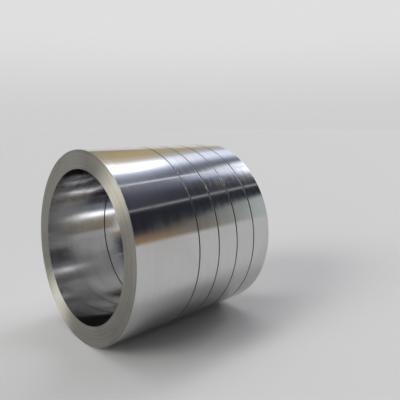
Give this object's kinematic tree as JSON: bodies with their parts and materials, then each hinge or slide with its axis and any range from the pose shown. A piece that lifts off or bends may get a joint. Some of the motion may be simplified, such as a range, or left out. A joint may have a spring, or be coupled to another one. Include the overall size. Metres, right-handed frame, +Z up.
{
  "type": "slit steel coil",
  "caption": "Slit coil of polished steel sheet lying on its side: a wide strip and a row of narrow strips, wound side by side on one bore with a thin gap after each strip.",
  "frame": {"origin": "on the floor, below the middle of the set: half its width from each free end and straight below the bore's axis", "axes": "+X along the bore, from the wide strip to the narrow strips; +Z up; +Y to the rear, away from the picture's camera"},
  "size_m": [0.582, 0.6376, 0.6376],
  "materials": {
    "polished_strip": "bright cold rolled strip: near mirror along its faces, satin on the slit edges that make up the end faces"
  },
  "bodies": {
    "root": {"wide_strip_coil": "polished_strip", "narrow_strip_coil_1": "polished_strip", "narrow_strip_coil_2": "polished_strip", "narrow_strip_coil_3": "polished_strip", "narrow_strip_coil_4": "polished_strip"}
  },
  "joints": []
}
